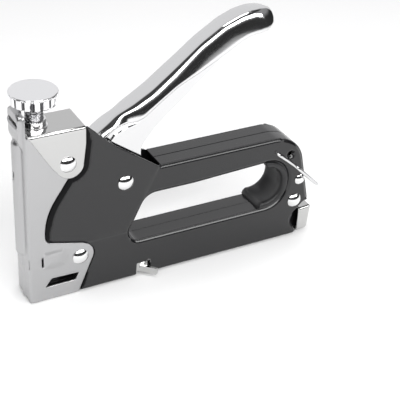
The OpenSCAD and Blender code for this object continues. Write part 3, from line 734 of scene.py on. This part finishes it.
def knob_screw():
    """The threaded stem, its radius following the thread's flank."""
    around = 40
    low, high = SCREW_Z
    levels = int((high - low) / PITCH * 10)
    verts = []
    for j in range(levels + 1):
        z = low + (high - low) * j / levels
        for i in range(around):
            a = 2 * math.pi * i / around
            r = SCREW_R - THREAD_DEPTH * abs(((z / PITCH - i / around) % 1) * 2 - 1)
            verts.append((KNOB_X + r * math.cos(a), r * math.sin(a), z))
    return make("knob_screw", verts, skin(levels + 1, around), "knob", "knob_chrome", 60, SCREW)


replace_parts(join([knob_head(), knob_screw()], "knob_turned"), "tension_knob")

BUSH = [(5.06, 104.1), (6.8, 104.1), (6.8, 104.8), (6.0, 104.8), (6.0, 106), (6.9, 106), (6.9, 106.7), (6.3, 107.0),
        (6.2, 107.1), (6.2, 110.0), (5.8, 110.4), (5.06, 110.4)]
verts, faces = lathe(BUSH, 64, wrap=True)
bush = make("bush_turned", [(KNOB_X + p[0], p[1], p[2]) for p in verts], faces, "body", "rivet_steel", 40)
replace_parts(bush, "knob_bush")

# ---------------------------------------------------------------- lever
# Tables along the lever from its pivot: its top, its flank's lower edge, its half width and its cheek's foot
TOP = ([-8, 0, 6, 13, 20, 26, 32, 44, 65, 80.5, 97, 107, 113, 117.5, 120.5, 122.2],
       [23, 31.5, 33.2, 33, 32.4, 31.7, 30.8, 29.4, 29.4, 29.7, 28.2, 25.4, 22.4, 19, 15.8, 12.6])
LOW = ([-8, 6, 9, 14, 18, 22.5, 26, 31, 44, 56, 69, 77.5, 89, 98, 104, 109, 113, 118, 120.5, 122.2],
       [20, 28, 28.4, 28.8, 27.6, 25.1, 23.0, 21.8, 21.8, 21.3, 18.6, 17.2, 15.4, 14.3, 12.8, 9.6, 7.6, 6.9, 8.2, 11.6])
HALF = ([-8, 8, 15, 19, 22.5, 26, 31, 60, 106, 110, 113, 115.5, 118, 119.5, 120.7, 121.5, 122.0, 122.25],
        [7.5, 8.0, 7.9, 7.2, 7.3, 8.6, 9.6, 9.7, 9.7, 9.65, 9.3, 8.6, 7.3, 6.1, 4.8, 3.6, 2.2, 0.9])
CHEEK = ([-8, 12, 19.7, 24.8, 31, 39, 50, 65, 77, 86, 92, 122.2],
         [12, 4.5, 8.9, 10.3, 11.4, 12.1, 12.6, 13.6, 14.4, 15.6, 15.0, 12])
TIP = 112
NECK_HALF, LEVER_T = 7.5, 1.4
CHEEK_PATH = [(-7.5, -7.5, 7), (7.5, -7.5, 7), (19.5, 8.6, 9), (34, 12.2, 3), (34, 19, 2), (14, 26, 3), (-5, 21, 6)]
STATIONS = np.concatenate([np.arange(-6, 16, 1.5), np.arange(16, 34, 0.9), np.arange(34, 108, 2.0),
                           np.arange(108, 119, 0.8), [119.4, 120.1, 120.7, 121.2, 121.5, 121.8, 122.0, 122.15, 122.25]])


def along(s, table):
    """Table lookup, smoothed over a few millimetres except at the tip."""
    spread = (0,) if s > TIP else (-1.6, -0.8, 0, 0.8, 1.6)
    return float(np.mean([np.interp(s + o, *table) for o in spread]))


def lever_section(s):
    """Half of the lever's closed section at s, from the top centre round the outside and back inside."""
    top, low, half = along(s, TOP), along(s, LOW), along(s, HALF)
    cheek = min(float(np.interp(s, *CHEEK)), low + 0.35)
    r = min(1.5, (top - low) * 0.3, half * 0.4)
    crown = min(0.35, (top - low) * 0.1)
    a0, a1, a2 = np.array([[0.46 * half, top - crown], [0.80 * half, top - 1.5 * crown], [half, low + r]])
    points = [(0.0, top), (0.16 * half, top - 0.12 * crown), (0.32 * half, top - 0.49 * crown)]
    for u in np.linspace(0, 1, 15):
        points.append(tuple(a0 * (1 - u) ** 2 + a1 * 2 * u * (1 - u) + a2 * u * u))
    for k in range(1, 7):
        a = -math.pi / 2 * k / 6
        points.append((half - r + r * math.cos(a), low + r + r * math.sin(a)))
    out = max(min(NECK_HALF, half - r - 0.05), 0.1)
    inner = max(out - LEVER_T, 0.05)
    ceiling = max(top - 2.2, low + 0.6)
    foot = min(cheek, low + 0.12)
    points += [(out, low + 0.2), (out, min(cheek + 0.3, low + 0.15)), (max(out - 0.35, 0.08), foot), (inner, foot),
               (inner, max(ceiling - 1.5, low + 0.3)), (max(inner - 1.5, 0.03), ceiling), (0, ceiling)]
    return points


def lever_world(s, y, w):
    """A point at s along the lever and w off it, in the frame's axes."""
    ca, sa = math.cos(LEVER_ANGLE), math.sin(LEVER_ANGLE)
    return (PIVOT[0] + s * ca - w * sa, y, PIVOT[1] + s * sa + w * ca)


def lever_cap(row, size):
    """Faces that close one end of the lever, between the two halves of its section."""
    quads = [(a, a + 1, (size - a - 1) % size, (size - a) % size) for a in range(size // 2)]
    quads = [tuple(row * size + i for i in dict.fromkeys(q)) for q in quads]
    return [q for q in quads if len(q) > 2]


def lever():
    verts = []
    for s in STATIONS:
        half = lever_section(s)
        ring = half + [(-y, w) for y, w in reversed(half[1:-1])]
        verts += [lever_world(s, y, w) for y, w in ring]
    rows, size = len(STATIONS), len(ring)
    faces = skin(rows, size)[:-2] + lever_cap(0, size) + lever_cap(rows - 1, size)
    pieces = [make("lever_grip", verts, faces, "lever", "lever_steel", 42)]
    cheek = rounded(CHEEK_PATH, 0.8)
    for side in (-1, 1):
        faces_y = NECK_HALF - 0.03, NECK_HALF - LEVER_T + 0.03
        verts = [lever_world(p[0], side * y, p[1]) for y in faces_y for p in cheek]
        pieces.append(make("lever_cheek", verts, skin(2, len(cheek)), "lever", "lever_steel", 30))
    return join(pieces, "lever_pressing")


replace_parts(lever(), "lever")


# ---------------------------------------------------------------- wire lock
def tube(name, points, radius, body, slot):
    """Round wire along a smooth curve through the points."""
    curve = bpy.data.curves.new(name, "CURVE")
    curve.dimensions = "3D"
    spline = curve.splines.new("BEZIER")
    spline.bezier_points.add(len(points) - 1)
    for b, p in zip(spline.bezier_points, points):
        b.co = [c * MM for c in p]
        b.handle_left_type = b.handle_right_type = "AUTO"
    curve.bevel_depth = radius * MM
    curve.bevel_resolution = 6
    curve.resolution_u = 5
    curve.use_fill_caps = True
    obj = bpy.data.objects.new(name, curve)
    bpy.context.collection.objects.link(obj)
    bpy.context.view_layer.update()
    mesh = bpy.data.meshes.new_from_object(obj.evaluated_get(bpy.context.evaluated_depsgraph_get()))
    bpy.data.objects.remove(obj)
    mesh.materials.clear()
    return finish_mesh(mesh, name, body, slot, 60)


def bail_side(side):
    """One arm of the bail: out through the shell at the pivot, a slight kink, and round to the cross bar."""
    pivot, kink, end = (np.array(p) for p in (BAIL_PIVOT, BAIL_KINK, BAIL_END))
    first = (kink - pivot) / 16.3
    second = (end - kink) / 24.1
    near, far = HALF_BODY + 1.4, HALF_BODY + 2.9
    way = [(8.2, pivot), (10.6, pivot), (11.8, pivot + first * 0.3), (near, pivot + first * 1.2),
           (near, pivot + first * 4), (near, kink - first), (near + 0.5, kink + second * 0.8),
           (far - 0.2, kink + second * 2.6), (far, kink + second * 4), (far, end - second * 3),
           (far - 0.15, end - second * 1.2), (far - 1.1, end - second * 0.2), (far - 2.4, end), (far - 6, end)]
    return [(p[0], side * y, p[1]) for y, p in way]


bail = tube("wire_bail", bail_side(-1) + bail_side(1)[::-1], 1.0, "wire_lock", "lever_steel")
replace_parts(bail, "wire_lock")

# ---------------------------------------------------------------- grip insert
# Half of the insert's section from its near side to the middle, as (y, height above the window's edge)
INSERT = [(-10.2, 0.05), (-10.75, 0.5), (-10.8, 1.6), (-10.6, 2.7), (-10.0, 3.6), (-9.0, 4.0), (-7.6, 3.8), (-5.5, 3.1),
          (-3, 2.5), (0, 2.3)]


def insert():
    """A saddle of rubber swept round the window's rear end, tapering to its own ends."""
    loop = dense(rounded(WINDOW_PATH), 0.8)
    loop = np.roll(loop, -np.argmin(np.hypot(loop[:, 0] - 144.5, loop[:, 1] - WINDOW_Z)), axis=0)
    path = loop[:np.argmax((loop[:, 0] < 147) & (loop[:, 1] > 50)) + 1]
    section = INSERT + [(-y, d) for y, d in INSERT[-2::-1]]
    way = np.concatenate([[0], np.cumsum(np.linalg.norm(np.diff(path, axis=0), axis=1))])
    verts = []
    for p, m, s in zip(path, normals(path, closed=False), way):
        to_end = min(1, min(s, way[-1] - s) / 2.6 + 0.02)
        share = math.sqrt(max(0.0, 1 - (1 - to_end) ** 2))
        for y, d in section:
            q = p + m * (0.05 + (d - 0.05) * share)
            verts.append((q[0], y * (0.94 + 0.06 * share), q[1]))
    return make("insert_moulding", verts, skin(len(path), len(section)), "body", "rubber", 60)


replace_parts(insert(), "grip_insert")

# ---------------------------------------------------------------- magazine cap
CAP_FRONT, CAP_HALF, CAP_T = 173.6, 10.2, 1.2
CAP_PATH = [(CAP_FRONT, 1.6, 0.4), (181.4, 1.6, 2.6), (182.8, 18.4, 1.2), (CAP_FRONT, 17.6, 0.4)]


def cap_side(side, inner):
    """A cheek of the cap, rounder at its closed edges than at its open front."""
    def f(uv, far, near):
        closed = near[:, 0] > CAP_FRONT + 0.6
        y = CAP_HALF - drop(far, np.where(closed, 1.6, 0.4), np.where(closed, 1.5, 0.35))
        if inner:
            y = np.minimum(CAP_HALF - CAP_T, y - 0.1)
        return np.stack([uv[:, 0], side * y, uv[:, 1]], axis=1)
    return f


def cap():
    """A pressed cap: a U of sheet round the rail's end, closed at the rear."""
    outline = dense(rounded(CAP_PATH, 0.4), 1.0)
    pieces = [sheet("cap_side", [outline], cap_side(side, False), cap_side(side, True), "drawer", "bright_sheet",
                    rings=(0.15, 0.4, 0.8, 1.3), grid=2.0) for side in (-1, 1)]
    band = outline[outline[:, 0] > CAP_FRONT + 0.1]
    pieces.append(strip("cap_band", band, CAP_T, -8.75, 8.75, "drawer", "bright_sheet", edge=0.01))
    return join(pieces, "cap_pressing")


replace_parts(cap(), "magazine_cap")


# ---------------------------------------------------------------- stage, light and camera
def floor(size, grey):
    mesh = bpy.data.meshes.new("floor")
    s, z = size / 2, -0.0004
    mesh.from_pydata([(-s, -s, z), (s, -s, z), (s, s, z), (-s, s, z)], [], [(0, 1, 2, 3)])
    obj = bpy.data.objects.new("floor", mesh)
    bpy.context.collection.objects.link(obj)
    mat = bpy.data.materials.new("floor")
    mat.use_nodes = True
    shader = mat.node_tree.nodes["Principled BSDF"]
    shader.inputs["Base Color"].default_value = (grey, grey, grey, 1)
    shader.inputs["Roughness"].default_value = 0.9
    mesh.materials.append(mat)


floor(6, 0.98)
bpy.context.scene.view_settings.view_transform = "Standard"

# A grey room with a dark horizon and a dark ring high up, so that polished edges show a light band between dark ones
SKY = ((0.0, 0.04), (0.30, 0.03), (0.42, 0.30), (0.70, 0.36), (0.77, 0.06), (0.93, 0.06), (1.0, 0.5))
BACK_WALL = (0.30, 0.62, 0.90)


def room():
    """The world: grey by height, blended into a pale wall behind the object."""
    world = bpy.data.worlds.new("studio")
    bpy.context.scene.world = world
    world.use_nodes = True
    nodes, links = world.node_tree.nodes, world.node_tree.links
    coords = nodes.new("ShaderNodeTexCoord")
    split = nodes.new("ShaderNodeSeparateXYZ")
    links.new(coords.outputs["Generated"], split.inputs[0])
    ramp = nodes.new("ShaderNodeValToRGB")
    stops = ramp.color_ramp.elements
    stops.remove(stops[1])
    for i, (height, grey) in enumerate(SKY):
        stop = stops[0] if i == 0 else stops.new(height)
        stop.position = height
        stop.color = (grey, grey, grey * 1.01, 1)
    links.new(split.outputs["Z"], ramp.inputs["Fac"])
    start, full, grey = BACK_WALL
    wall = nodes.new("ShaderNodeMapRange")
    wall.inputs["From Min"].default_value, wall.inputs["From Max"].default_value = start, full
    links.new(split.outputs["Y"], wall.inputs["Value"])
    blend = nodes.new("ShaderNodeMixRGB")
    blend.inputs["Color2"].default_value = (grey, grey, grey * 1.01, 1)
    links.new(wall.outputs["Result"], blend.inputs["Fac"])
    links.new(ramp.outputs["Color"], blend.inputs["Color1"])
    links.new(blend.outputs["Color"], nodes["Background"].inputs["Color"])


def area(name, at, size, power):
    """A rectangular light aimed at the middle of the object."""
    light = bpy.data.lights.new(name, "AREA")
    light.shape = "RECTANGLE"
    light.size, light.size_y = size
    light.energy = power
    obj = bpy.data.objects.new(name, light)
    obj.location = at
    obj.rotation_euler = (Vector((0.09, 0, 0.07)) - Vector(at)).to_track_quat("-Z", "Y").to_euler()
    bpy.context.collection.objects.link(obj)


room()
area("key", (0.09, -0.78, 0.72), (2.2, 0.30), 14)
area("top", (0.09, 0.05, 1.15), (0.6, 0.6), 5.6)

# The photograph's view, found by fitting a camera: angles in degrees, offset in millimetres along the camera's axes
VIEW_AZ, VIEW_EL, VIEW_ROLL = (math.radians(a) for a in (-29.784, 32.382, 3.279))
VIEW_OFFSET = (-98.7, -51.958, 618.539)
FRAME_SHIFT = (0.6, 0, -1.2)
LENS = 99


def camera():
    toward = Vector((math.sin(VIEW_AZ) * math.cos(VIEW_EL), -math.cos(VIEW_AZ) * math.cos(VIEW_EL), math.sin(VIEW_EL)))
    level = (-toward).cross(Vector((0, 0, 1))).normalized()
    upright = level.cross(-toward)
    right = level * math.cos(VIEW_ROLL) + upright * math.sin(VIEW_ROLL)
    up = upright * math.cos(VIEW_ROLL) - level * math.sin(VIEW_ROLL)
    turn = Matrix((right, up, toward)).transposed()
    place = -(right * VIEW_OFFSET[0] + up * VIEW_OFFSET[1] - toward * VIEW_OFFSET[2]) - Vector(FRAME_SHIFT)
    data = bpy.data.cameras.new("camera")
    data.lens = LENS
    data.sensor_width = 36
    data.clip_start = 0.01
    cam = bpy.data.objects.new("camera", data)
    cam.matrix_world = Matrix.Translation(place * MM) @ turn.to_4x4()
    bpy.context.collection.objects.link(cam)
    bpy.context.scene.camera = cam


camera()
